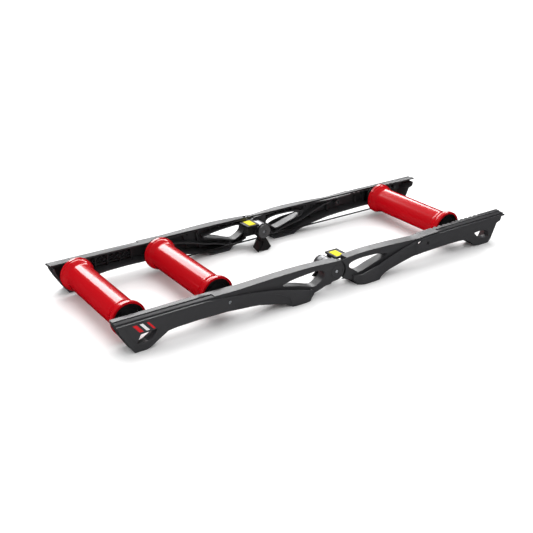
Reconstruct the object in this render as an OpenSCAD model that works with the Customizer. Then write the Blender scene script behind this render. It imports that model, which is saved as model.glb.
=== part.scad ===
// Folding bike rollers: two channel-shaped plastic frame halves hinged in the middle,
// three spinning drums on fixed axles and a round belt from the middle drum to the front one.
// X runs along the bike with the front at +X, Y across it, Z up from the floor.
// Frame sections are drawn in (u, z), where u is the distance from the fold axis,
// and are extruded outwards along w, the distance from the centre plane.

/* [Frame] */
// Length of one frame half, from the fold axis to its end
half_len = 681; // [660:1:700]
// Distance from the centre plane to a rail's outer face
rail_out = 227; // [225:0.5:232]
// Thickness of a rail's upright web
web_t = 4; // [3:0.1:5]
// Thickness of flanges and rims
rim_t = 4.5; // [3.5:0.1:5]
// Width of the top flange
flange_w = 36.4; // [35:0.1:38]
// Width of the bottom flange
sole_w = 46.5; // [43:0.1:47]
// Height of the flange's outer edge
edge_z = 84.4; // [83:0.1:86]
// How far the outer edge band stands proud of the web
band_proud = 1.5; // [1:0.1:2.5]
// Thickness of the stiffening ribs
rib_t = 2.4; // [1.8:0.1:3]
// Thickness of the rubber pads under the feet
pad_t = 1.5; // [1:0.1:3]

/* [Hinge] */
// Height of the fold axis
hinge_z = 55; // [53:0.5:57]
// Distance from the rail's outer face in to the arms' inner face
arm_inset = 34; // [32:0.1:35]
// Width of the half that carries the outer ear
arm_w = 27.6; // [25:0.1:28]
// Radius of the round ear
ear_r = 27.5; // [26:0.1:28]
// How far the ear's boss stands proud of the arm
boss_proud = 1.3; // [1.2:0.1:2]
// Width of the dark crescent around the ear
crescent = 5.2; // [4.5:0.1:5.5]
// Radius of the hinge pin
pin_r = 4.5; // [4:0.1:6]
// Radius of the grey hinge tube
tube_r = 24; // [22:0.1:24.5]
// Length of the grey hinge tube
tube_len = 43.4; // [40:0.1:45]
// Radius of the tube's neck in the tongue
neck_r = 14; // [12:0.1:16]
// Distance from the fold axis to the end face of the half with the tongue
butt_u = 34.5; // [34.5:0.1:36]

/* [Drums] */
// Radius of a drum's body
drum_r = 40; // [38:0.5:42]
// Radius of a drum's raised lip
lip_r = 48.5; // [46:0.5:50]
// Distance from the rail's outer face in to a drum's end
drum_inset = 63.2; // [62:0.1:67]
// Wall of a drum
drum_wall = 3; // [2:0.1:4]
// Height of the roller axles
axle_z = 61.3; // [60:0.1:62]
// Radius of a roller axle
axle_r = 5; // [4:0.1:6]
// Distance from the rear roller to the frame's rear end
rear_back = 64; // [60:0.5:70]
// Distance between the two rear rollers
pair_gap = 258.7; // [255:0.1:262]
// Distance from the front roller to the frame's front end
front_back = 189.1; // [184:0.1:194]

/* [Belt] */
// Radius of the round belt
belt_r = 2.4; // [2:0.1:2.6]
// Radius of the belt's centre line on a pulley
belt_pitch_r = 38.8; // [37:0.1:39]
// Distance from a drum's end out to the belt
belt_off = 10.7; // [10:0.1:11.5]

/* [Front roller adjustment] */
// Distance between two notches
notch_pitch = 19.5; // [18:0.1:20]
// Number of notches
notches = 11; // [9:1:11]
// Radius of the spare axle hole
spare_r = 5.5; // [5:0.1:6]
// Distance from the front roller back to the spare axle hole
spare_off = 144.9; // [140:0.1:150]

/* [Hidden] */

gap = 0.3;                     // clearance between parts that move past each other
fit = 0.06;                    // radial clearance of a shaft in its bore
eps = 0.02;                    // overlap that joins two solids of one piece
flange_in = rail_out - flange_w;
sole_in = rail_out - sole_w;
strip_w = rail_out - 21;       // groove between the flange's two strips
band_w = rail_out - 6;         // where the flange's outer band begins
rib_in = rail_out - 18.8;      // inner face of the ribs, clear of the sliding axle
cell_in = rail_out - 15;       // inner face of the diamond ribs
screw_w = rail_out - 23;       // ends of the front axle, where its screws sit
arm_in = rail_out - arm_inset;
arm_out = arm_in + arm_w;      // outer face of the half with the outer ear
skin_out = arm_out + boss_proud; // outer face of the ear and of the half with the tongue
layer_w = arm_in + arm_w / 2;  // plane between the tongue and the outer ear
arm_top = 31.5;                // height of the arms' top over the fold axis
ear_top_u = 12.6;              // how far the outer ear's flat top passes the axis
roof_u = 4;                    // how far the roof over the tongue passes the axis
skin_r = ear_r + crescent;
tongue_r = ear_r + 0.3;
tongue_pocket_r = tongue_r + 1.4;
guard_r = butt_u - gap;        // the ear's shoulder, which turns inside the butt face
main_in_u = 330;               // where the flanged beam hands over to the arm
beam_u = main_in_u - 30;       // where the beam's web begins
drum_half = rail_out - drum_inset;
belt_w = drum_half + belt_off; // distance from the centre plane to the belt
rear_u = half_len - rear_back;
mid_u = rear_u - pair_gap;
front_u = half_len - front_back;
spare_u = front_u - spare_off;
foot_rear = [103, 168];        // where each half's middle foot stands, measured along u
foot_front = [68, 146];
drawn_len = 681;               // half length that the outlines below are drawn for
end_shift = half_len - drawn_len;

// Curves

// A smooth curve through the points p, with n steps from one to the next
function catmull(a, b, c, d, t) = 0.5 * (2 * b + (c - a) * t + (2 * a - 5 * b + 4 * c - d) * t * t
    + (3 * b - 3 * c + d - a) * t * t * t);
function at(p, i) = p[max(0, min(len(p) - 1, i))];
function curve(p, n = 4) = concat([for (i = [0 : len(p) - 2], k = [0 : n - 1])
    catmull(at(p, i - 1), at(p, i), at(p, i + 1), at(p, i + 2), k / n)], [p[len(p) - 1]]);
// The closed outline p with its corners cut n times
function softened(p, n = 2) = n == 0 ? p : softened([for (i = [0 : len(p) - 1], k = [0.25, 0.75])
    p[i] * (1 - k) + p[(i + 1) % len(p)] * k], n - 1);
function reversed(p) = [for (i = [len(p) - 1 : -1 : 0]) p[i]];
function shifted(p, dz) = [for (q = p) [q[0], q[1] + dz]];
// The drawn distance u, and the drawn outline p, with what lies near the end moved along
// with the frame half's end
function moved(u) = u + (u > 400 ? end_shift : 0);
function ended(p) = [for (q = p) [moved(q[0]), q[1]]];
function unit(v) = v / norm(v);
// The closed outline p grown by d along its corners' normals; p runs anticlockwise
function grown(p, d) = [for (i = [0 : len(p) - 1])
    let (a = p[(i + len(p) - 1) % len(p)], b = p[i], c = p[(i + 1) % len(p)],
         n1 = unit([b[1] - a[1], a[0] - b[0]]), n2 = unit([c[1] - b[1], b[0] - c[0]]),
         m = unit(n1 + n2)) b + m * d / max(0.5, m * n1)];

// Heights along each half, as (u, z) points

// Inner top strip and the arm's top, from the ear outwards
top_rear = ended([[-ear_top_u, hinge_z + arm_top], [0, hinge_z + arm_top], [60, 90], [120, 92.6],
    [190, 92.6], [260, 90.8], [main_in_u, 88.8], [430, 89.8], [560, 90.1], [drawn_len, 90.1]]);
top_front = ended([[-ear_top_u, hinge_z + arm_top], [0, hinge_z + arm_top], [50, 90.5], [100, 93],
    [150, 92.5], [200, 91], [250, 88], [300, 85.5], [340, 87], [420, 89.4], [560, 90.1],
    [drawn_len, 90.1]]);
// Outer edge of the flange, which sinks to become the ridge of the lower arm
edge_rear = ended([[drawn_len, edge_z], [560, edge_z], [470, edge_z], [430, 83.6], [400, 81.5],
    [367, 78], [317, 72], [269, 67], [222, 60.5], [190, 54.7], [150, 45.7], [127, 39.5],
    [103, 31.5], [92, 26]]);
edge_front = ended([[drawn_len, edge_z], [560, edge_z], [470, edge_z], [430, 84.2], [383, 83.6],
    [333, 82], [290, 78], [250, 70], [200, 58.5], [177, 53], [150, 48.5], [125, 44], [100, 38.5],
    [75, 31], [58, 28]]);
// Underside of the beam and of the lower arm, from the end foot inwards
under_rear = ended([[601, pad_t], [590, 5.5], [566, 20], [541, 34.5], [517, 37], [457, 38.5],
    [367, 37], [317, 32], [267, 27.5], [222, 18.6], [187, 9.8], [173.5, 3.2], [foot_rear[1], pad_t],
    [foot_rear[0], pad_t], [97, 8], [92, 14]]);
under_front = ended([[572, pad_t], [559, 4], [547, 10], [530, 24.5], [513, 34], [483, 36.5],
    [433, 37.5], [333, 35], [283, 32], [230, 24.5], [187, 17.5], [165, 11.3], [153, 6],
    [foot_front[1], pad_t], [foot_front[0], pad_t], [65, 6], [58, 14]]);
// Upright end of each half, from the foot upwards
end_rear = ended([[637, pad_t], [648.5, 20], [661.5, 42], [673.5, 65], [drawn_len - 3, edge_z - 3]]);
end_front = ended([[618.5, pad_t], [628, 12], [634, 25], [645, 50], [649.5, 60.5], [656, 62.5],
    [665.5, 66], [668, 75], [669, edge_z - 4]]);
// How far the lower arm and foot swell outwards from the web
swell_rear = [[0, 11], [98, 11], [104, 14], [112, 16.5], [125, 18], [155, 18], [165, 16], [180, 12.5],
    [222, 8], [267, 4.3], [300, 1.8], [332, 0.2], [700, 0.2]];
swell_front = [[0, 2], [58, 2], [65, 4], [70, 9], [76, 13.5], [87, 18], [100, 18.5], [130, 18.5],
    [146, 16.5], [155, 13.5], [177, 9.5], [230, 5], [283, 1.5], [304, 0.2], [700, 0.2]];
// How deep the trough between the arm's web and the lower arm's ridge is
trough_rear = [[0, 0.3], [93, 0.3], [98, 6], [104, 13], [190, 13], [222, 9], [267, 4], [300, 1.5],
    [332, 0.3], [700, 0.3]];
trough_front = [[0, 0.3], [60, 0.3], [65, 6], [72, 13], [190, 13], [230, 7], [283, 2], [304, 0.3],
    [700, 0.3]];
// Lower edge of the ridge's band, and how deep the panel below it is sunk
band_rear = [[290, 65], [255, 60], [220, 50], [200, 42], [181, 32], [173, 22], [170, 8], [163, 0]];
sink_rear = [[163, 0], [172, 1.8], [290, 1.8], [332, 0]];
band_front = [[0, 0], [700, 0]];
sink_front = [[0, 0], [700, 0]];
// Lowest edge of the strut between the foot and the hinge
strut_rear = [[92, 8], [80, 8.5], [68, 11], [56, 14.2], [44, 18.6], [36, 21], [30, 21.1],
    [20, 21.2], [16, 25.6], [10, 26.7]];
strut_front = [[58, 14], [50, 17.7], [40, 20.7], [30, 23.4], [20, 25.9], [12, 27.5]];
// Openings between the arms, drawn anticlockwise
window_rear = [[187, 62.3], [168, 66.6], [150, 69.2], [130, 71.3], [109, 72.9], [90, 74],
    [78, 74.6], [66, 74], [54, 71], [46, 66], [42.5, 59.5], [45, 50.3], [51.5, 42.4], [61, 36.5],
    [70, 31.8], [78, 29.2], [90, 31], [110, 38], [127, 43.5], [160, 52], [184, 56.5]];
window_front = [[187, 66.5], [160, 71.6], [139, 74.6], [120, 75.4], [100, 75.8], [79, 75.3],
    [64, 73.6], [51, 70.6], [43.5, 66], [40.8, 60], [43, 54], [60, 47], [78, 33], [96, 35],
    [125, 44.5], [160, 53], [181, 57]];
// Hand holds in the ends
hold_rear = ended([[630, 23], [617, 46.5], [571, 49.5], [578, 38], [587, 28], [599, 23.5]]);
hold_front = ended([[616, 24], [612, 40], [603, 47.5], [582, 50.5], [550, 48.5], [552, 45],
    [563, 34.5], [576, 25], [600, 21.5]]);
// Stations along the swelling lower arm
stations_rear = [332, 300, 267, 245, 222, 205, 194, 187, 181, 177, 173, 170, 168, 165, 155, 140, 125,
    112, 104, 98, 92];
stations_front = [304, 283, 255, 230, 205, 187, 177, 165, 155, 146, 130, 115, 100, 87, 76, 70, 65, 58];

half_rear = [edge_rear, under_rear, swell_rear, trough_rear, band_rear, sink_rear];
half_front = [edge_front, under_front, swell_front, trough_front, band_front, sink_front];

// Placing

module slab(w0, w1) {
    translate([0, w1, 0]) rotate([90, 0, 0]) linear_extrude(w1 - w0) children();
}
module rod(r, w0, w1) {
    translate([0, w1, 0]) rotate([90, 0, 0]) cylinder(r = r, h = w1 - w0, $fn = 72);
}
// A ring profile in (radius, w) turned about the line u = 0, z = 0
module turned() {
    rotate([-90, 0, 0]) rotate_extrude($fn = 96) children();
}
module on_half(rear, far) {
    mirror([rear ? 1 : 0, 0, 0]) mirror([0, far ? 0 : 1, 0]) children();
}
module above(u, z) { translate([u, 0, z]) children(); }

// Frame halves

// Ribbon of height d under the points p
module ribbon(p, d) { polygon(concat(p, reversed(shifted(p, -d)))); }
module rim(p, t) { difference() { polygon(grown(p, t)); polygon(p); } }

// Section of the lower arm at u: a channel open towards the centre plane, its panel sunk
// below the ridge's band and a trough between the ridge and the arm's web
function arm_section(u, half) = let (z1 = lookup(u, half[0]), z0 = lookup(u, half[1]),
        w = rail_out + lookup(u, half[2]), floor_z = z1 - lookup(u, half[3]),
        band_z = max(z0 + 4, min(z1 - 6, lookup(u, half[4]))), v = w - lookup(u, half[5]))
    [[u, sole_in, z0], [u, v - 1.5, z0], [u, v, z0 + 3], [u, v, band_z], [u, w, band_z + 1],
     [u, w, z1 - 4], [u, w - 2.6, z1], [u, w - rim_t, z1], [u, w - rim_t, floor_z],
     [u, arm_in, floor_z], [u, arm_in, floor_z - rim_t], [u, w - rim_t, floor_z - rim_t],
     [u, w - rim_t, z0 + rim_t], [u, sole_in, z0 + rim_t]];

module lower_arm(stations, half) {
    n = 14;
    pts = [for (u = stations) each arm_section(u, half)];
    last = (len(stations) - 1) * n;
    cap = [[0, 1, 12, 13], [1, 2, 12], [2, 3, 11, 12], [3, 4, 8, 11], [4, 5, 7, 8], [5, 6, 7],
        [8, 9, 10, 11]];
    sides = [for (i = [0 : len(stations) - 2], k = [0 : n - 1])
        each [[i * n + k, i * n + (k + 1) % n, (i + 1) * n + (k + 1) % n],
              [i * n + k, (i + 1) * n + (k + 1) % n, (i + 1) * n + k]]];
    polyhedron(pts, concat(sides, [for (c = cap) reversed(c)], [for (c = cap) [for (k = c) last + k]]));
}

// Closing wall at the hinge side of the foot
module foot_wall(u, half) {
    s = arm_section(u, half);
    t = arm_section(u + rim_t, half);
    edge = [0, 1, 2, 5, 6, 9];
    hull() polyhedron(concat([for (k = edge) s[k]], [for (k = edge) t[k]]),
        [[0, 1, 2, 3, 4, 5], [6, 7, 8, 9, 10, 11], [0, 1, 7, 6], [1, 2, 8, 7], [2, 3, 9, 8],
         [3, 4, 10, 9], [4, 5, 11, 10], [5, 0, 6, 11]]);
}

module beam_outline(end, low, edge) {
    polygon(concat([[beam_u, 60]], reversed(low),
        end, [for (q = edge) if (q[0] > beam_u) q - [q[0] > half_len - 5 ? 6 : 0, 2]]));
}

module rail(top, end, half, strut, window, hold, stations, tongue) {
    edge = half[0];
    low = half[1];
    out = tongue ? skin_out : arm_out;
    top_c = curve(top);
    inner_strip = [for (q = top_c) if (q[0] > main_in_u - 10) q];
    mid_strip = [for (q = inner_strip) q - [0, 2.2]];
    arm_top_line = [for (q = top_c) if (q[0] < main_in_u + 90) q];
    outer_edge = curve(edge);
    outer_band = [for (q = outer_edge) if (q[0] > main_in_u - 40) q];
    low_main = concat([for (q = low) if (q[0] > beam_u) q], [[beam_u, lookup(beam_u, reversed(low))]]);
    arm_low = concat([for (q = edge) if (q[0] < main_in_u + 90)
        q - [0, max(6, lookup(q[0], half[3]) + 3)]], strut);
    arm_outline = concat(arm_top_line, arm_low, [[0, hinge_z - ear_r], [-24, hinge_z + 14]]);
    difference() {
        union() {
            // Upright web of the beam
            difference() {
                slab(rail_out - web_t, rail_out) beam_outline(end, low_main, edge);
                slab(sole_in, rail_out + 5) polygon(hold);
            }
            // Walls of the hand hold
            slab(rib_in, rail_out - eps) rim(hold, rib_t);
            // Stepped top flange
            slab(flange_in, strip_w) ribbon(inner_strip, rim_t);
            slab(strip_w - eps, band_w) ribbon(mid_strip, rim_t);
            slab(band_w - eps, rail_out + band_proud) ribbon(outer_band, rim_t);
            // Upright joining the strips where the outer one sinks
            slab(band_w - 2, band_w + 1) polygon(concat([for (q = mid_strip) if (q[0] < 470) q - [0, 1]],
                [for (q = outer_edge) if (q[0] > main_in_u - 12 && q[0] < 470) q - [0, 3]]));
            // Bottom flange and upright end
            slab(sole_in, rail_out) ribbon(shifted(low_main, rim_t), rim_t);
            slab(sole_in, rail_out) polygon([low[0], end[0], end[0] + [-rim_t, rim_t],
                low[0] + [0, rim_t]]);
            slab(sole_in, rail_out) polygon(concat(end, reversed([for (q = end) q - [rim_t + 0.6, 0]])));
            // Lower arm and foot
            lower_arm(stations, half);
            foot_wall(stations[len(stations) - 1], half);
            // Lip of the arm's top, which runs out towards the hinge
            intersection() {
                slab(out - 1, out + 2) ribbon(arm_top_line, 3.4);
                linear_extrude(120) polygon([[60, out - 1], [60, out], [150, out + 1.8],
                    [440, out + 1.8], [440, out - 1]]);
            }
            // Upper arm, strut and ear
            difference() {
                union() {
                    slab(out - web_t, out) polygon(arm_outline);
                    slab(arm_in, out) ribbon(arm_top_line, rim_t);
                    slab(arm_in, out) ribbon(shifted(strut, rim_t), rim_t);
                    slab(arm_in, out) rim(window, rim_t - 0.6);
                    slab(arm_in, out) intersection() {
                        polygon(arm_outline);
                        translate([-60, 0]) square([100, 120]);
                    }
                }
                slab(arm_in - 1, rail_out) polygon(window);
                if (tongue) slab(arm_in - 1, rail_out) translate([-60, 0]) square([60 + butt_u, 120]);
            }
            if (tongue) tongue_end(arm_outline); else outer_ear();
        }
        if (tongue) above(0, hinge_z) rod(neck_r + fit, arm_in - 1, layer_w);
        else ear_cuts();
    }
}

// Round ear with its boss, outside the tongue
module outer_ear() {
    above(0, hinge_z) {
        rod(ear_r, layer_w, arm_out);
        difference() {
            turned() polygon([[0, arm_out - eps], [ear_r, arm_out - eps], [ear_r, arm_out],
                [ear_r - 4, skin_out], [0, skin_out]]);
            difference() {
                rod(21, skin_out - 0.9, rail_out);
                rod(19.8, skin_out - 2, rail_out);
            }
        }
        // Shoulder deep in the crescent, which closes the view through it
        slab(layer_w + gap / 2, layer_w + 7) intersection() {
            circle(r = guard_r, $fn = 96);
            polygon([[1, arm_top], [1, -27], [-6, -26.5], [-25, -30], [-guard_r, -24],
                [-guard_r, arm_top]]);
        }
    }
}

// Room for the tongue and its neck as the frame folds, and the pin's bore
module ear_cuts() {
    above(0, hinge_z) {
        rod(tongue_pocket_r, arm_in - 1, layer_w + gap / 2);
        rod(pin_r + fit, arm_in, rail_out);
        rod(pin_r + 2.4, skin_out - 1.6, rail_out);
    }
    translate([-60, arm_in - 1, 0]) cube([60 - roof_u, layer_w + gap / 2 - arm_in + 1, 120]);
}

// Tongue between the ears, and the skin that closes the gap outside the ear
module tongue_end(outline) {
    w1 = layer_w - gap / 2;
    slab(arm_in, w1) difference() {
        union() {
            translate([0, hinge_z]) circle(r = tongue_r, $fn = 72);
            translate([0, hinge_z - tongue_r]) square([butt_u + 3, tongue_r - 6]);
        }
    }
    slab(arm_out + gap, skin_out) difference() {
        intersection() {
            polygon(concat([[ear_top_u, hinge_z + arm_top], [44, hinge_z + arm_top + 1.5],
                [44, hinge_z - 33], [12, hinge_z - ear_r + 1]]));
            union() {
                polygon([for (q = outline) [max(q[0], -20), q[1]]]);
                translate([8, hinge_z]) square([30, arm_top]);
            }
        }
        translate([0, hinge_z]) circle(r = skin_r, $fn = 96);
    }
}

// Stiffening ribs inside the channel
module rib(a, b, w0, t = rib_t, w1 = rail_out - eps) {
    d = unit(b - a);
    n = [-d[1], d[0]] * t / 2;
    slab(w0, w1) polygon([a - n, b - n, b + n, a + n]);
}
// Slanting ribs between the arms' tops and the lower arm
module arm_struts(pairs) {
    for (q = pairs) rib(q[0], q[1], rib_in, rib_t, arm_out - 1);
}

// Upright ribs of the beam at the stations us, up to the height z1
module beam_ribs(us, low, z1) {
    for (v = us) let (u = moved(v)) rib([u, lookup(u, reversed(low)) + 2], [u, z1], rib_in);
}
// Short ribs under the arm's top
module arm_ribs(us, top, tongue) {
    out = tongue ? skin_out : arm_out;
    for (u = us) slab(arm_in + 4, out - 1) translate([u, lookup(u, top) - 14])
        square([rib_t, 13]);
}

module diamonds(u0, count, pitch, half_h, z) {
    for (i = [0 : count - 1], s = [-1, 1]) let (u = u0 + i * pitch) {
        rib([u, z], [u + pitch / 2, z + s * half_h], cell_in, 1.6);
        rib([u + pitch / 2, z + s * half_h], [u + pitch, z], cell_in, 1.6);
    }
}

module axle_boss(u) {
    difference() {
        above(u, axle_z) rod(11, flange_in, rail_out - web_t + eps);
        above(u, axle_z) rod(axle_r + fit, flange_in - 1, rail_out - web_t - 3);
    }
}

module rear_rail(far) {
    color("dimgray") on_half(true, far) difference() {
        union() {
            rail(top_rear, end_rear, half_rear, strut_rear, window_rear, hold_rear,
                stations_rear, far);
            for (u = [rear_u, mid_u]) axle_boss(u);
            diamonds(moved(432), 6, notch_pitch, 8.5, 62);
            beam_ribs([540, 502, 463, 427], under_rear, 84);
            rib([moved(560), 83], [moved(427), 83], cell_in, 1.8);
            rib([moved(556), 50], [moved(427), 50], cell_in, 1.8);
            arm_ribs([82, 102, 130, 160, 205, 240, 275], top_rear, far);
            arm_struts([[[255, 88], [237, 32]], [[208, 88], [196, 22]]]);
        }
        above(mid_u, axle_z) rod(axle_r + fit, rail_out - web_t - 4, rail_out + 3);
        // Shallow panel in the end's outer face, deepest along its slanting border
        intersection() {
            slab(rail_out - 2, rail_out + 1) polygon(ended([[563, 77.5], [662, 77.5], [645, 47],
                [630, 23], [599, 23.5], [587, 28], [578, 38], [571, 49.5], [563, 60]]));
            linear_extrude(120) polygon([[moved(562), rail_out], [moved(665), rail_out - 1.4],
                [moved(665), rail_out + 1], [moved(562), rail_out + 1]]);
        }
    }
}

module front_rail(far) {
    color("dimgray") on_half(false, far) difference() {
        union() {
            rail(top_front, end_front, half_front, strut_front, window_front, hold_front,
                stations_front, !far);
            above(spare_u, axle_z) rod(10, rail_out - 21, rail_out - eps);
            for (u = [586, 608]) above(moved(u), 63) rod(6.5, rib_in, rail_out - eps);
            beam_ribs([427, 463, 502, 530], under_front, 70);
            beam_ribs([305], under_front, 76);
            arm_ribs([58, 88, 118, 148, 205, 240, 275], top_front, !far);
            arm_struts([[[205, 88], [196, 24]], [[243, 86], [230, 34]]]);
        }
        above(spare_u, axle_z) rod(spare_r, rail_out - 27, rail_out + 3);
        // Notches that the front axle's blocks drop into
        for (i = [0 : notches - 1])
            translate([front_u + (i - (notches - 1) / 2) * notch_pitch - 4.5, flange_in - 1, 80])
                cube([9, 5, 20]);
    }
}

// Pads under a half's end feet and middle feet
module foot_pads(ends, foot, swell) {
    color("black") for (far = [false, true]) mirror([0, far ? 0 : 1, 0]) {
        translate([ends[0] + 1, sole_in + 2, 0])
            cube([ends[1] - ends[0] - 2, rail_out - sole_in - 3, pad_t]);
        foot_pad(foot, swell);
    }
}
// Pad whose outer edge follows the swelling foot
module foot_pad(foot, swell) {
    us = [for (k = [0 : 8]) foot[0] + 1 + (foot[1] - foot[0] - 2) * k / 8];
    linear_extrude(pad_t) polygon(concat([[us[8], sole_in + 2], [us[0], sole_in + 2]],
        [for (u = us) [u, rail_out + lookup(u, swell) - 1.6]]));
}
module rear_foot_pads() {
    mirror([1, 0, 0]) foot_pads([under_rear[0][0], end_rear[0][0]], foot_rear, swell_rear);
}
module front_foot_pads() {
    foot_pads([under_front[0][0], end_front[0][0]], foot_front, swell_front);
}

// Hinge. Drawn for the near side, where the ear belongs to the rear half at -u and the
// tongue to the front half at +u; the far side is the same turned half a turn about Z.

disc_t = 4.5;
disc_r = 22;
disc_hole_r = 5.6;
hub_neck_r = 12;
leg_t = 5.4;                   // thickness of the legs' plates
tube_w = arm_in - tube_len;    // inner end of the grey tube
leg_w = tube_w - 0.2 - leg_t;  // inner face of the ear half's leg where it rings the hub
disc_w = leg_w - disc_t;       // inner face of the hinge's end disc
leg_r = 26;                    // where the legs begin to lean
leg_lean = 0.65;               // how far the legs lean inwards for each mm of radius
tray_u = [19, 62];             // label tray along X
tray_w = [disc_w + 1.5, arm_in]; // label tray across
tray_top = 28.6;
tray_t = 6;

module at_hinge(far) {
    rotate([0, 0, far ? 180 : 0]) mirror([0, 1, 0]) translate([0, 0, hinge_z]) children();
}
module hinge_tube(far) {
    color("silver") at_hinge(far) difference() {
        union() {
            rod(tube_r, tube_w, arm_in - gap);
            rod(neck_r, arm_in - gap - eps, layer_w + gap / 2);
        }
        rod(pin_r + fit, tube_w - 1, rail_out);
        difference() {
            rod(tube_r + 1, tube_w + 15.8, tube_w + 17.2);
            rod(tube_r - 1.2, tube_w + 15, tube_w + 18);
        }
    }
}
module hinge_pin(far) {
    color("gainsboro") at_hinge(far) rod(pin_r, disc_w + 6, skin_out - 0.8);
}
module hinge_disc(far) {
    color("#3c3c3c") at_hinge(far) difference() {
        union() {
            rod(disc_r, disc_w, leg_w);
            rod(hub_neck_r, leg_w - eps, tube_w);
        }
        rod(disc_hole_r, disc_w - 1, disc_w + 6);
        rod(pin_r + fit, disc_w, tube_w + 1);
        difference() {
            rod(9.2, disc_w - 1, disc_w + 0.6);
            rod(8.2, disc_w - 2, disc_w + 1);
        }
    }
}
module hinge_washer(far) {
    color("gray") at_hinge(far) difference() {
        rod(disc_hole_r - fit, disc_w + 3.6, disc_w + 6);
        rod(2.2, disc_w, tube_w);
    }
}
// Plate dished about the fold axis from the radius r0 outwards, cut to the outline p.
// Its inner face lies at w where it is still flat.
module dished_leg(p, w, r0) {
    far_r = 90;
    lean = leg_lean * (far_r - leg_r);
    intersection() {
        turned() polygon([[r0, w], [leg_r, w], [far_r, w - lean], [far_r, w - lean + leg_t],
            [leg_r, w + leg_t], [r0, w + leg_t]]);
        slab(w - 60, w + 20) polygon(p);
    }
}
// Leg of the half with the outer ear, ringed about the hub
module ear_leg() {
    dished_leg([[-12, 18], [12, 18], [20, 6], [22, -14], [54, -34], [37, -54.8], [30, -52],
        [4, -33], [-6, -26], [-20, -8], [-20, 6]], leg_w, hub_neck_r + fit);
}
// Leg of the half with the tongue: a curved arm from under the tray, around the disc
module tongue_leg() {
    w = leg_w - leg_t - 0.8;
    dished_leg([[50, 8], [38, 14], [26, 6], [20, -8], [14, -14], [0, -18], [-7, -24],
        [-14, -47], [2, -54.8], [20, -53], [30, -50], [4, -30], [16, -26], [27, -12],
        [34, -4]], w, disc_r + 1.6);
    slab(w, tube_w + 6) polygon([[62, 8], [62, 22], [48, 18], [38, 14], [29, 8], [26.5, 1],
        [27, -6], [33, -2], [46, 3]]);
    slab(tube_w, tube_w + 6) polygon([[62, 8], [62, 24], [20, 24], [21, 16], [26.5, 2],
        [40, 2]]);
}
module label_tray() {
    slab(tray_w[0], arm_in - gap) translate([tray_u[0], tray_top - tray_t])
        square([tray_u[1] - tray_u[0], tray_t - 1.2]);
    slab(arm_in - 1, arm_in) translate([butt_u + 1, tray_top - tray_t])
        square([tray_u[1] - butt_u - 1, tray_t]);
    difference() {
        slab(tray_w[0], arm_in - gap) translate([tray_u[0], tray_top - 1.3])
            square([tray_u[1] - tray_u[0], 1.3]);
        slab(tray_w[0] + 3, arm_in - 3.5) translate([tray_u[0] + 3, tray_top - 1.2])
            square([tray_u[1] - tray_u[0] - 6, 2]);
    }
}
module leg(far, ear) {
    color("#202020") at_hinge(far) if (ear) {
        ear_leg();
    } else {
        tongue_leg();
        label_tray();
    }
}
module label_plate(far) {
    color("gold") at_hinge(far)
        translate([tray_u[0] + 7, tray_w[0] + 9, tray_top - 1.2])
            cube([tray_u[1] - tray_u[0] - 19, arm_in - tray_w[0] - 15, 0.8]);
}

// Rollers. Each is drawn about its own axle at u = 0.

bearing_r = 13;
bearing_w = 8;
cap_r = lip_r - 6;
hub_r = 18;
groove_r = belt_r + 0.3;

function flare(t) = drum_r + (lip_r - 2 - drum_r) * (1 - cos(180 * t)) / 2;
module drum() {
    steps = 8;
    w0 = drum_half - 36;
    w1 = drum_half - 12;
    outer = concat([for (k = [0 : steps]) [flare(k / steps), w0 + (w1 - w0) * k / steps]],
        [[lip_r - 1.3, w1 + 1], [lip_r - 1.3, w1 + 2.2], [lip_r, w1 + 3],
         [lip_r, drum_half - 1], [lip_r - 1, drum_half]]);
    inner = concat([for (k = [0 : steps]) [flare(k / steps) - drum_wall,
        w0 + (w1 - w0) * k / steps]], [[cap_r, w1 + 1], [cap_r, drum_half]]);
    flip = function(p) [for (q = p) [q[0], -q[1]]];
    color("crimson") turned() polygon(concat(flip(reversed(outer)), outer, reversed(inner),
        flip(inner)));
}
// Moulded end cap in the drum's mouth; w runs outwards
module cap(pulley) {
    w0 = drum_half - 11;
    difference() {
        union() {
            turned() polygon([[8, w0 + 7], [bearing_r, w0 + 7], [bearing_r, w0 - 1],
                [hub_r, w0 - 1], [hub_r, w0 + 1], [cap_r, w0 + 1], [cap_r, w0 + 8],
                [cap_r - 3.5, w0 + 8], [cap_r - 5, w0 + 5], [31, w0 + 5], [29, w0 + 8.5],
                [23, w0 + 10.5], [8, w0 + 11]]);
            if (pulley) {
                turned() polygon([[8, w0 + 10], [hub_r, w0 + 10], [hub_r, belt_w - 4.6],
                    [belt_pitch_r + 2.6, belt_w - 4.6], [belt_pitch_r + 2.6, belt_w + 4.6],
                    [33, belt_w + 4.6], [31, belt_w + 1], [16, belt_w + 1],
                    [14, belt_w + 4.6], [8, belt_w + 4.6]]);
            }
        }
        if (pulley) turned() translate([belt_pitch_r, belt_w]) union() {
            circle(r = groove_r, $fn = 48);
            translate([0, -groove_r]) square([8, 2 * groove_r]);
        }
    }
}
module roller_cap(u, far, pulley) {
    color("#1c1c1c") above(u, axle_z) mirror([0, far ? 0 : 1, 0]) cap(pulley);
}
module bearing(u, far) {
    color("lightsteelblue") above(u, axle_z) mirror([0, far ? 0 : 1, 0]) difference() {
        rod(bearing_r, drum_half - 12, drum_half - 12 + bearing_w);
        rod(axle_r + fit, drum_half - 20, drum_half);
    }
}
module roller_drum(u) { above(u, axle_z) drum(); }
module axle(u, half_w) { color("silver") above(u, axle_z) rod(axle_r, -half_w, half_w); }

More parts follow.
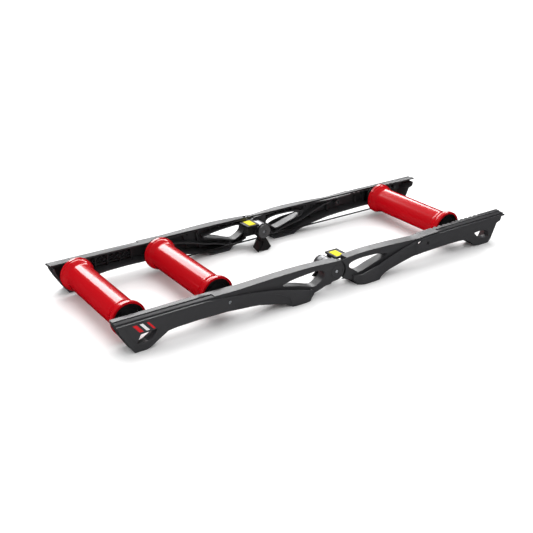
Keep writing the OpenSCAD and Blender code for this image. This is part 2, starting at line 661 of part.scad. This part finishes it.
module both_sides() {
    children();
    mirror([0, 1, 0]) children();
}
module rear_axle_clips() {
    color("gray") above(-rear_u, axle_z) both_sides() difference() {
        rod(8.5, flange_in - 1.6, flange_in - 0.2);
        rod(axle_r, flange_in - 3, flange_in + 1);
    }
}
module mid_axle_screws() {
    color("gray") above(-mid_u, axle_z) both_sides() difference() {
        rod(axle_r - 0.1, rail_out - 8, rail_out - 2.2);
        translate([0, rail_out, 0]) rotate([90, 0, 0]) cylinder(r = 2.9, h = 5, $fn = 6);
    }
}
// Block that carries the front axle and slides along the beam's channel
module axle_block(far) {
    color("#262626") above(front_u, 0) mirror([0, far ? 0 : 1, 0]) difference() {
        union() {
            slab(flange_in + 0.6, screw_w) polygon(softened([[-14, 49], [14, 49], [14, 81.5],
                [-14, 81.5]], 1));
            translate([-14, flange_in + 0.6, 73]) cube([28, 25, 8]);
            slab(flange_in - 3, flange_in + 2) polygon([[-8, 73], [8, 73], [6, 79], [-6, 79]]);
            slab(flange_in - 3, flange_in - 0.6) polygon([[-8, 73], [8, 73], [5, 89], [-5, 89]]);
            above(0, axle_z) rod(10, flange_in - 3, screw_w - 4);
        }
        above(0, axle_z) rod(axle_r + fit, flange_in - 4, rail_out);
    }
}
module front_axle_screws() {
    color("gray") above(front_u, axle_z) both_sides() difference() {
        rod(8, screw_w, rib_in - 0.8);
        translate([0, rib_in, 0]) rotate([90, 0, 0]) cylinder(r = 3.5, h = 3, $fn = 6);
    }
}

// Round belt over both pulleys, swept as one closed tube
module drive_belt() {
    arc_steps = 20;
    sides = 10;
    path = concat(
        [for (k = [0 : arc_steps]) let (a = -90 + 180 * k / arc_steps)
            [[front_u, 0] + belt_pitch_r * [cos(a), sin(a)], a]],
        [for (k = [0 : arc_steps]) let (a = 90 + 180 * k / arc_steps)
            [[-mid_u, 0] + belt_pitch_r * [cos(a), sin(a)], a]]);
    n = len(path);
    pts = [for (q = path, k = [0 : sides - 1]) let (b = 360 * k / sides)
        [q[0][0] + belt_r * cos(b) * cos(q[1]), belt_w + belt_r * sin(b),
         axle_z + q[0][1] + belt_r * cos(b) * sin(q[1])]];
    faces = [for (i = [0 : n - 1], k = [0 : sides - 1])
        let (j = (i + 1) % n, m = (k + 1) % sides)
        [i * sides + k, j * sides + k, j * sides + m, i * sides + m]];
    color("#2b2b2b") polyhedron(pts, faces);
}

rear_rail(false);  // rear_rail_near
rear_rail(true);  // rear_rail_far
rear_foot_pads();
front_rail(false);  // front_rail_near
front_rail(true);  // front_rail_far
front_foot_pads();
hinge_tube(false);  // hinge_tube_near
hinge_tube(true);  // hinge_tube_far
hinge_pin(false);  // hinge_pin_near
hinge_pin(true);  // hinge_pin_far
hinge_disc(false);  // hinge_disc_near
hinge_disc(true);  // hinge_disc_far
hinge_washer(false);  // hinge_washer_near
hinge_washer(true);  // hinge_washer_far
leg(false, true);  // rear_leg_near
leg(true, false);  // rear_leg_far
leg(false, false);  // front_leg_near
leg(true, true);  // front_leg_far
label_plate(true);  // rear_label_plate
label_plate(false);  // front_label_plate
axle(-rear_u, rail_out - 8);  // rear_axle
axle(-mid_u, rail_out - 8);  // mid_axle
axle(front_u, screw_w);  // front_axle
rear_axle_clips();
mid_axle_screws();
axle_block(false);  // front_axle_block_near
axle_block(true);  // front_axle_block_far
front_axle_screws();
roller_drum(-rear_u);  // rear_drum
roller_cap(-rear_u, false, false);  // rear_cap_near
roller_cap(-rear_u, true, false);  // rear_cap_far
bearing(-rear_u, false);  // rear_bearing_near
bearing(-rear_u, true);  // rear_bearing_far
roller_drum(-mid_u);  // mid_drum
roller_cap(-mid_u, false, false);  // mid_cap_near
roller_cap(-mid_u, true, true);  // mid_pulley_cap
bearing(-mid_u, false);  // mid_bearing_near
bearing(-mid_u, true);  // mid_bearing_far
roller_drum(front_u);  // front_drum
roller_cap(front_u, false, false);  // front_cap_near
roller_cap(front_u, true, true);  // front_pulley_cap
bearing(front_u, false);  // front_bearing_near
bearing(front_u, true);  // front_bearing_far
drive_belt();
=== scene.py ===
"""Folding bike rollers: finishes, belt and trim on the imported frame, with floor and light."""
import math

import bmesh
import bpy
from mathutils import Matrix, Vector


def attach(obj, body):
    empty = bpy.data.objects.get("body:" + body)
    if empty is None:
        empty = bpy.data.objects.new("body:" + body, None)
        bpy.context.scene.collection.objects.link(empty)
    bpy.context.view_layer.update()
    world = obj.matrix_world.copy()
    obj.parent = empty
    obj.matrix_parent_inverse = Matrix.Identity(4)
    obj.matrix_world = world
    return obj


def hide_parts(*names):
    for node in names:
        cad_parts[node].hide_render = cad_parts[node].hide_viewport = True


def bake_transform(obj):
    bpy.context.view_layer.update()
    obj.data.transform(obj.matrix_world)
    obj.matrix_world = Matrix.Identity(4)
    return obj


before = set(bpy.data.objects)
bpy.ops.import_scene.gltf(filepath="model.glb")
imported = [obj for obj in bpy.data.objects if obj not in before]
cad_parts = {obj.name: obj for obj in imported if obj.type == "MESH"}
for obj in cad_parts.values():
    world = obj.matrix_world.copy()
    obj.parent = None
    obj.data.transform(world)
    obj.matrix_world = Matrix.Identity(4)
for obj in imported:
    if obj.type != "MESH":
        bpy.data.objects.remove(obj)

bl_info = {
    "name": "Bike rollers",
    "version": (1, 0, 0),
    "blender": (4, 5, 0),
    "location": "View3D > Sidebar > Rollers",
    "description": "Finishes, belt, trim and stage for a pair of folding bike rollers",
    "category": "Object",
}

MM = 0.001
AXLE_Z = 0.0613
MID_X = -0.3583
FRONT_X = 0.4919
BELT_Y = 0.1745
BELT_LINE_R = 0.0388
RAIL_OUT = 0.227
# The rear rails' end panels slope inwards: start behind the fold and length in mm, drop in m
PANEL_START = 562
PANEL_LENGTH = 103
PANEL_DROP = 0.0014
RAILS = {
    "rear_rail_near": "rear_frame",
    "rear_rail_far": "rear_frame",
    "front_rail_near": "front_frame",
    "front_rail_far": "front_frame",
}


# Settings

class RollerSizes(bpy.types.PropertyGroup):
    edge_round: bpy.props.FloatProperty(
        name="Edge rounding", description="Radius of the mouldings' edges", default=0.0008,
        min=0.0001, max=0.003, unit="LENGTH", precision=4)
    belt_radius: bpy.props.FloatProperty(
        name="Belt radius", description="Radius of the round belt", default=0.0024,
        min=0.001, max=0.003, unit="LENGTH", precision=4)
    stripe_depth: bpy.props.FloatProperty(
        name="Stripe depth", description="Thickness of the stripes on the rails' sides",
        default=0.0002, min=0.0001, max=0.001, unit="LENGTH", precision=4)


def colour_property(name, description, code):
    return bpy.props.FloatVectorProperty(
        name=name, description=description, subtype="COLOR", size=3, min=0, max=1,
        default=linear(code))


def linear(code):
    """The sRGB colour #rrggbb as three linear numbers."""
    parts = [int(code[i:i + 2], 16) / 255 for i in (1, 3, 5)]
    return tuple(c / 12.92 if c <= 0.04045 else ((c + 0.055) / 1.055) ** 2.4 for c in parts)


class RollerColours(bpy.types.PropertyGroup):
    rail: colour_property("Rails", "Charcoal of the moulded rails", "#38383A")
    drum: colour_property("Drums", "Red of the drums", "#B4000E")
    cap: colour_property("Caps", "Black of the drums' end caps", "#161617")
    barrel: colour_property("Hinge tubes", "Grey of the hinge tubes", "#8E8E90")
    plate: colour_property("Label plates", "Yellow of the bare label plates", "#E2D400")
    belt: colour_property("Belt", "Dark grey of the belt", "#1B1B1C")


class StageSettings(bpy.types.PropertyGroup):
    key_power: bpy.props.FloatProperty(
        name="Key light", description="Power of the soft box behind the rollers",
        default=96.0, min=0, max=2000, unit="POWER")
    sun_strength: bpy.props.FloatProperty(
        name="Overhead light", description="Strength of the broad light from above",
        default=1.7, min=0, max=20)
    world_strength: bpy.props.FloatProperty(
        name="Surroundings", description="Strength of the light from all round",
        default=1.0, min=0, max=5)


# Materials

def add(tree, kind, sockets=None, **settings):
    """A node with its settings; a socket's value is a number, a colour or another node's output."""
    node = tree.nodes.new(kind)
    for name, value in settings.items():
        setattr(node, name, value)
    for name, value in (sockets or {}).items():
        if isinstance(value, bpy.types.NodeSocket):
            tree.links.new(value, node.inputs[name])
        else:
            node.inputs[name].default_value = value
    return node


def start_material(name, **constants):
    """An empty material with its Principled shader, whose constant sockets are set."""
    material = bpy.data.materials.new(name)
    material.use_nodes = True
    tree = material.node_tree
    tree.nodes.clear()
    principled = add(tree, "ShaderNodeBsdfPrincipled",
                     {k.replace("_", " ").title().replace("Ior", "IOR"): v
                      for k, v in constants.items()})
    output = add(tree, "ShaderNodeOutputMaterial")
    tree.links.new(principled.outputs["BSDF"], output.inputs["Surface"])
    return material, tree, principled


def place_of(tree, scale=(1, 1, 1), turn=(0, 0, 0)):
    """Object coordinates in metres through a Mapping node."""
    coordinates = add(tree, "ShaderNodeTexCoord")
    mapping = add(tree, "ShaderNodeMapping",
                  {"Vector": coordinates.outputs["Object"], "Scale": scale, "Rotation": turn})
    return mapping.outputs["Vector"]


def speckle(tree, place, size_mm, detail=2.0):
    """Noise whose blotches are about size_mm across."""
    noise = add(tree, "ShaderNodeTexNoise",
                {"Vector": place, "Scale": 1 / (size_mm * MM), "Detail": detail,
                 "Roughness": 0.55})
    return noise.outputs["Fac"]


def shade(tree, factor, low, high):
    """A colour between two linear colours by a factor."""
    mix = add(tree, "ShaderNodeMix", {"Factor": factor}, data_type="RGBA")
    mix.inputs["A"].default_value = (*low, 1)
    mix.inputs["B"].default_value = (*high, 1)
    return mix.outputs["Result"]


def spread(tree, factor, low, high, lowest=0.3, highest=0.7):
    """A number between low and high by a factor."""
    node = add(tree, "ShaderNodeMapRange",
               {"Value": factor, "From Min": lowest, "From Max": highest,
                "To Min": low, "To Max": high})
    return node.outputs["Result"]


def dent(tree, principled, height, depth_mm, strength=1.0):
    bump = add(tree, "ShaderNodeBump",
               {"Height": height, "Distance": depth_mm * MM, "Strength": strength})
    tree.links.new(bump.outputs["Normal"], principled.inputs["Normal"])


def tinted(colour, factor):
    return tuple(min(1, c * factor) for c in colour)


def glass_filled_nylon(name, colour, roughness):
    # Injection-moulded glass-filled nylon: satin, with a fine spark-eroded grain.
    material, tree, principled = start_material(name, ior=1.53, specular_ior_level=0.6)
    place = place_of(tree)
    cloud = speckle(tree, place, 90, 3)
    grain = speckle(tree, place, 1.3, 2)
    tree.links.new(shade(tree, cloud, tinted(colour, 0.93), tinted(colour, 1.08)),
                   principled.inputs["Base Color"])
    tree.links.new(spread(tree, cloud, roughness - 0.03, roughness + 0.04),
                   principled.inputs["Roughness"])
    dent(tree, principled, grain, 0.12, 0.35)
    return material


def gloss_drum_plastic(name, colour):
    # Extruded and buffed PVC tube: glossy, a shade deeper in faint streaks along the drum.
    material, tree, principled = start_material(
        name, ior=1.5, specular_ior_level=0.4, coat_weight=0.4, coat_roughness=0.05,
        coat_ior=1.5)
    streak = speckle(tree, place_of(tree, scale=(1, 0.08, 1)), 40, 1)
    dust = speckle(tree, place_of(tree), 3.5, 3)
    tree.links.new(shade(tree, streak, tinted(colour, 0.95), tinted(colour, 1.05)),
                   principled.inputs["Base Color"])
    tree.links.new(spread(tree, dust, 0.2, 0.26), principled.inputs["Roughness"])
    return material


def moulded_black_nylon(name, colour):
    # Moulded black nylon: matt, with a fine grain.
    material, tree, principled = start_material(name, ior=1.53)
    place = place_of(tree)
    grain = speckle(tree, place, 1.6, 2)
    tree.links.new(shade(tree, grain, tinted(colour, 0.85), tinted(colour, 1.3)),
                   principled.inputs["Base Color"])
    tree.links.new(spread(tree, grain, 0.42, 0.55), principled.inputs["Roughness"])
    dent(tree, principled, grain, 0.08, 0.4)
    return material


def satin_aluminium(name, colour):
    # Turned and anodised aluminium tube: satin, brushed round its axis.
    material, tree, principled = start_material(name, metallic=0.85)
    rings = speckle(tree, place_of(tree, scale=(0.05, 1, 0.05)), 0.8, 2)
    tree.links.new(shade(tree, rings, tinted(colour, 0.9), tinted(colour, 1.12)),
                   principled.inputs["Base Color"])
    tree.links.new(spread(tree, rings, 0.28, 0.4), principled.inputs["Roughness"])
    dent(tree, principled, rings, 0.03, 0.4)
    return material


def zinc_plated_steel(name):
    # Zinc-plated steel: bright, slightly blue, with faint mottling. The plating's bloom
    # scatters much of the light, so it is drawn only half metallic.
    material, tree, principled = start_material(name, metallic=0.5)
    mottle = speckle(tree, place_of(tree), 2.2, 3)
    tree.links.new(shade(tree, mottle, linear("#A9ADB2"), linear("#D4D7DB")),
                   principled.inputs["Base Color"])
    tree.links.new(spread(tree, mottle, 0.2, 0.34), principled.inputs["Roughness"])
    return material


def painted_pvc(name, colour):
    # Printed PVC plate: even colour under a silk varnish, slightly orange-peeled.
    material, tree, principled = start_material(name, ior=1.5, specular_ior_level=0.25)
    peel = speckle(tree, place_of(tree), 1.5, 2)
    tree.links.new(shade(tree, peel, tinted(colour, 0.94), tinted(colour, 1.04)),
                   principled.inputs["Base Color"])
    tree.links.new(spread(tree, peel, 0.55, 0.68), principled.inputs["Roughness"])
    dent(tree, principled, peel, 0.03, 0.3)
    return material


def moulded_rubber(name):
    # Moulded rubber: dull black with a fine stipple that grips the floor.
    material, tree, principled = start_material(name, ior=1.52)
    stipple = speckle(tree, place_of(tree), 1.8, 2)
    tree.links.new(shade(tree, stipple, linear("#0E0E0E"), linear("#1F1F1F")),
                   principled.inputs["Base Color"])
    tree.links.new(spread(tree, stipple, 0.75, 0.9), principled.inputs["Roughness"])
    dent(tree, principled, stipple, 0.2, 0.6)
    return material


def polyurethane_cord(name, colour):
    # Extruded polyurethane cord: dark and semi-matt, with faint drawing lines along it.
    material, tree, principled = start_material(name, ior=1.5)
    lines = speckle(tree, place_of(tree, scale=(0.04, 1, 1)), 1.2, 2)
    tree.links.new(shade(tree, lines, tinted(colour, 0.8), tinted(colour, 1.4)),
                   principled.inputs["Base Color"])
    tree.links.new(spread(tree, lines, 0.42, 0.55), principled.inputs["Roughness"])
    dent(tree, principled, lines, 0.05, 0.3)
    return material


def studio_floor(name):
    # Matt painted studio floor: near white, with a very faint roller-paint mottle.
    material, tree, principled = start_material(name, ior=1.45, specular_ior_level=0.2)
    mottle = speckle(tree, place_of(tree), 60, 2)
    tree.links.new(shade(tree, mottle, linear("#F4F4F4"), linear("#F7F7F7")),
                   principled.inputs["Base Color"])
    tree.links.new(spread(tree, mottle, 0.7, 0.8), principled.inputs["Roughness"])
    return material


# Pieces

def dress(node, material):
    """Give a CAD node a material on its object's own slots."""
    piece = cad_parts[node]
    for place in piece.material_slots:
        place.link = "OBJECT"
        place.material = material


def finish_mesh(bm, name, material, body=None, smooth_angle=30):
    """Make the bmesh an object at the origin that rides on a body."""
    bmesh.ops.recalc_face_normals(bm, faces=bm.faces)
    mesh = bpy.data.meshes.new(name)
    bm.to_mesh(mesh)
    bm.free()
    for face in mesh.polygons:
        face.use_smooth = True
    mesh.set_sharp_from_angle(angle=math.radians(smooth_angle))
    mesh.materials.append(material)
    piece = bpy.data.objects.new(name, mesh)
    bpy.context.scene.collection.objects.link(piece)
    if body:
        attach(piece, body)
    return piece


def merged_copy(node):
    """A bmesh of a CAD node with its loose triangles joined and its flat faces whole."""
    bm = bmesh.new()
    bm.from_mesh(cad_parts[node].data)
    bmesh.ops.remove_doubles(bm, verts=bm.verts, dist=1e-6)
    bmesh.ops.dissolve_limit(bm, angle_limit=math.radians(0.5), verts=bm.verts,
                             edges=bm.edges)
    return bm


def rounded_copy(node, body, material, width, angle=35):
    """A copy of a CAD node with rounded edges, which stands for it."""
    piece = finish_mesh(merged_copy(node), node + "_moulding", material, body)
    bevel = piece.modifiers.new("edges", "BEVEL")
    bevel.width = width
    bevel.segments = 2
    bevel.limit_method = "ANGLE"
    bevel.angle_limit = math.radians(angle)
    bevel.harden_normals = True
    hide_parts(node)
    return piece


# Operators

class MakeRails(bpy.types.Operator):
    """Give the four rails rounded edges and their moulded finish"""
    bl_idname = "rollers.make_rails"
    bl_label = "Rails"

    def execute(self, context):
        scene = context.scene
        nylon = glass_filled_nylon("moulded_glass_filled_nylon",
                                   tuple(scene.roller_colours.rail), 0.36)
        for node, body in RAILS.items():
            rounded_copy(node, body, nylon, scene.roller_sizes.edge_round)
        return {"FINISHED"}


# Each stripe's foot behind the fold and its width; all stripes lean alike. In millimetres.
STRIPES = {"red": ((609, 11), (576, 6)), "white": ((592, 9),)}
STRIPE_BOTTOM = 53
STRIPE_TOP = 75
STRIPE_LEAN = 18


def panel_face(u):
    """How far out the rear rails' end panel lies, u millimetres behind the fold."""
    return RAIL_OUT - PANEL_DROP * max(0, u - PANEL_START) / PANEL_LENGTH


def slanted_stripe(bm, foot, width, side, depth):
    """A slanted bar on the end panel, with its back sunk a little into the face."""
    head = foot + STRIPE_LEAN
    corners = ((foot, STRIPE_BOTTOM), (foot + width, STRIPE_BOTTOM),
               (head + width, STRIPE_TOP), (head, STRIPE_TOP))
    buried = 0.0001
    face = bm.faces.new([bm.verts.new((-u * MM, side * (panel_face(u) - buried), z * MM))
                         for u, z in corners])
    raised = bmesh.ops.extrude_face_region(bm, geom=[face])["geom"]
    bmesh.ops.translate(bm, verts=[v for v in raised if isinstance(v, bmesh.types.BMVert)],
                        vec=(0, side * (buried + depth), 0))


class MakeStripes(bpy.types.Operator):
    """Put plain slanted stripes on the rear rails' end panels"""
    bl_idname = "rollers.make_stripes"
    bl_label = "Stripes"

    def execute(self, context):
        depth = context.scene.roller_sizes.stripe_depth
        films = {"red": painted_pvc("printed_film_red", linear("#C8101C")),
                 "white": painted_pvc("printed_film_white", linear("#DCDCDC"))}
        for end, side in (("near", -1), ("far", 1)):
            for name, film in films.items():
                bm = bmesh.new()
                for foot, width in STRIPES[name]:
                    slanted_stripe(bm, foot, width, side, depth)
                finish_mesh(bm, f"rear_stripes_{end}_{name}", film, "rear_frame")
        return {"FINISHED"}


class DressHinges(bpy.types.Operator):
    """Finish the hinge tubes, pins, discs, washers, legs and label plates"""
    bl_idname = "rollers.dress_hinges"
    bl_label = "Hinges"

    def execute(self, context):
        colours = context.scene.roller_colours
        aluminium = satin_aluminium("anodised_aluminium", tuple(colours.barrel))
        steel = zinc_plated_steel("zinc_plated_steel_hinge")
        dark = glass_filled_nylon("moulded_nylon_black", linear("#1E1E1F"), 0.42)
        disc = glass_filled_nylon("moulded_nylon_grey", linear("#4A4A4B"), 0.4)
        plate = painted_pvc("printed_pvc_plate", tuple(colours.plate))
        for side in ("near", "far"):
            dress(f"hinge_tube_{side}", aluminium)
            dress(f"hinge_pin_{side}", steel)
            dress(f"hinge_washer_{side}", steel)
            dress(f"hinge_disc_{side}", disc)
            dress(f"rear_leg_{side}", dark)
            dress(f"front_leg_{side}", dark)
        dress("rear_label_plate", plate)
        dress("front_label_plate", plate)
        return {"FINISHED"}


class DressRollers(bpy.types.Operator):
    """Finish the drums, their end caps, pulleys and bearings"""
    bl_idname = "rollers.dress_rollers"
    bl_label = "Rollers"

    def execute(self, context):
        colours = context.scene.roller_colours
        red = gloss_drum_plastic("polished_pvc_drum", tuple(colours.drum))
        black = moulded_black_nylon("moulded_nylon_cap", tuple(colours.cap))
        steel = zinc_plated_steel("ground_bearing_steel")
        for drum in ("rear_drum", "mid_drum", "front_drum"):
            dress(drum, red)
        for cap in ("rear_cap_near", "rear_cap_far", "mid_cap_near", "mid_pulley_cap",
                    "front_cap_near", "front_pulley_cap"):
            dress(cap, black)
        for roller in ("rear", "mid", "front"):
            for side in ("near", "far"):
                dress(f"{roller}_bearing_{side}", steel)
        return {"FINISHED"}


class DressAxles(bpy.types.Operator):
    """Finish the axles, their clips, screws and sliding blocks, and the rubber feet"""
    bl_idname = "rollers.dress_axles"
    bl_label = "Axles and feet"

    def execute(self, context):
        steel = zinc_plated_steel("zinc_plated_steel")
        block = glass_filled_nylon("moulded_nylon_block", linear("#202021"), 0.5)
        rubber = moulded_rubber("moulded_rubber")
        for node in ("rear_axle", "mid_axle", "front_axle", "rear_axle_clips",
                     "mid_axle_screws", "front_axle_screws"):
            dress(node, steel)
        for node in ("front_axle_block_near", "front_axle_block_far"):
            dress(node, block)
        for node in ("rear_foot_pads", "front_foot_pads"):
            dress(node, rubber)
        return {"FINISHED"}


def belt_half(name, material, radius, joint_x, end_x, arc_steps=24, run_steps=40):
    """Half of the belt: from joint_x along the lower run, round the pulley at end_x and back."""
    ahead = 1 if end_x > joint_x else -1
    bm = bmesh.new()
    bmesh.ops.create_circle(bm, segments=16, radius=radius,
                            matrix=Matrix.Translation((joint_x, BELT_Y, AXLE_Z - BELT_LINE_R))
                            @ Matrix.Rotation(math.radians(90), 4, "Y"))
    edges = list(bm.edges)
    centre = Vector((end_x, BELT_Y, AXLE_Z))

    def extend():
        grown = bmesh.ops.extrude_edge_only(bm, edges=edges)["geom"]
        edges[:] = [e for e in grown if isinstance(e, bmesh.types.BMEdge)]
        return list({v for e in edges for v in e.verts})

    step = Vector(((end_x - joint_x) / run_steps, 0, 0))
    for _ in range(run_steps):
        bmesh.ops.translate(bm, verts=extend(), vec=step)
    turn = Matrix.Rotation(-ahead * math.pi / arc_steps, 3, "Y")
    for _ in range(arc_steps):
        bmesh.ops.rotate(bm, verts=extend(), cent=centre, matrix=turn)
    for _ in range(run_steps):
        bmesh.ops.translate(bm, verts=extend(), vec=-step)
    return finish_mesh(bm, name, material, smooth_angle=60)


class MakeBelt(bpy.types.Operator):
    """Make the round belt in two lengths, each going round one pulley"""
    bl_idname = "rollers.make_belt"
    bl_label = "Belt"

    def execute(self, context):
        scene = context.scene
        cord = polyurethane_cord("polyurethane_belt_cord", tuple(scene.roller_colours.belt))
        radius = scene.roller_sizes.belt_radius
        meeting_x = 0.12
        rear = belt_half("drive_belt_rear", cord, radius, meeting_x, MID_X)
        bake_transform(rear)
        front = belt_half("drive_belt_front", cord, radius, meeting_x, FRONT_X)
        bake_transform(front)
        for piece in (rear, front):
            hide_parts("drive_belt")
        return {"FINISHED"}


class SetStage(bpy.types.Operator):
    """Set the pale floor, the soft light and the camera"""
    bl_idname = "rollers.set_stage"
    bl_label = "Stage"

    def execute(self, context):
        scene = context.scene
        settings = scene.roller_stage
        bm = bmesh.new()
        bmesh.ops.create_grid(bm, x_segments=1, y_segments=1, size=20)
        floor = finish_mesh(bm, "floor", studio_floor("painted_studio_floor"))
        # Floor and surroundings light the mouldings but aren't mirrored in their gloss.
        floor.visible_glossy = False

        world = bpy.data.worlds.new("studio")
        world.use_nodes = True
        world.node_tree.nodes["Background"].inputs["Color"].default_value = (1, 1, 1, 1)
        world.node_tree.nodes["Background"].inputs["Strength"].default_value = (
            settings.world_strength)
        scene.world = world
        world.cycles_visibility.glossy = False
        scene.view_settings.view_transform = "Standard"

        sun = bpy.data.lights.new("overhead", "SUN")
        sun.energy = settings.sun_strength
        sun.angle = math.radians(60)
        sun_object = bpy.data.objects.new("overhead", sun)
        scene.collection.objects.link(sun_object)
        sun_object.matrix_world = aimed((0.9, 1.6, 3.2), (0, 0, 0))
        sun_object.visible_glossy = False

        box = bpy.data.lights.new("soft_box", "AREA")
        box.shape = "RECTANGLE"
        box.size = 4.4
        box.size_y = 0.8
        box.energy = settings.key_power
        box_object = bpy.data.objects.new("soft_box", box)
        scene.collection.objects.link(box_object)
        box_object.matrix_world = aimed((1.3, 2.8, 1.9), (1.3, 0, 0))

        lens = bpy.data.cameras.new("camera")
        lens.sensor_width = 36
        lens.lens = 58.17
        lens.clip_end = 100
        camera = bpy.data.objects.new("camera", lens)
        scene.collection.objects.link(camera)
        right = Vector((0.8233, -0.5675, 0.0))
        back = Vector((-0.5167, -0.7497, 0.4134)).normalized()
        right = (right - back * right.dot(back)).normalized()
        up = back.cross(right)
        turn = Matrix((right, up, back)).transposed().to_4x4()
        camera.matrix_world = (Matrix.Translation((-1.4146, -1.9241, 1.0709)) @ turn
                               @ Matrix.Rotation(math.radians(0.17), 4, "Z"))
        scene.camera = camera
        return {"FINISHED"}


def aimed(place, target):
    """A placing at a point whose -Z looks at the target."""
    direction = Vector(target) - Vector(place)
    return Matrix.Translation(place) @ direction.to_track_quat("-Z", "Y").to_matrix().to_4x4()


class RollersPanel(bpy.types.Panel):
    """Rollers"""
    bl_idname = "VIEW3D_PT_rollers"
    bl_label = "Rollers"
    bl_space_type = "VIEW_3D"
    bl_region_type = "UI"
    bl_category = "Rollers"

    def draw(self, context):
        scene = context.scene
        for group in (scene.roller_sizes, scene.roller_colours, scene.roller_stage):
            box = self.layout.box()
            for name in group.__annotations__:
                box.prop(group, name)
        for operator in OPERATORS:
            self.layout.operator(operator.bl_idname)


GROUPS = {"roller_sizes": RollerSizes, "roller_colours": RollerColours,
          "roller_stage": StageSettings}
OPERATORS = (SetStage, MakeRails, MakeStripes, DressHinges, DressRollers, DressAxles, MakeBelt)


def register():
    for group in GROUPS.values():
        bpy.utils.register_class(group)
    for name, group in GROUPS.items():
        setattr(bpy.types.Scene, name, bpy.props.PointerProperty(type=group))
    for operator in OPERATORS:
        bpy.utils.register_class(operator)
    bpy.utils.register_class(RollersPanel)


def unregister():
    bpy.utils.unregister_class(RollersPanel)
    for operator in reversed(OPERATORS):
        bpy.utils.unregister_class(operator)
    for name, group in reversed(GROUPS.items()):
        delattr(bpy.types.Scene, name)
        bpy.utils.unregister_class(group)


def corners(bounds):
    return [[float(x) for x in corner] for corner in bounds]


def main():
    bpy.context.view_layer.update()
    register()
    for operator in OPERATORS:
        group, name = operator.bl_idname.split(".")
        getattr(getattr(bpy.ops, group), name)()


if __name__ == "__main__":
    main()
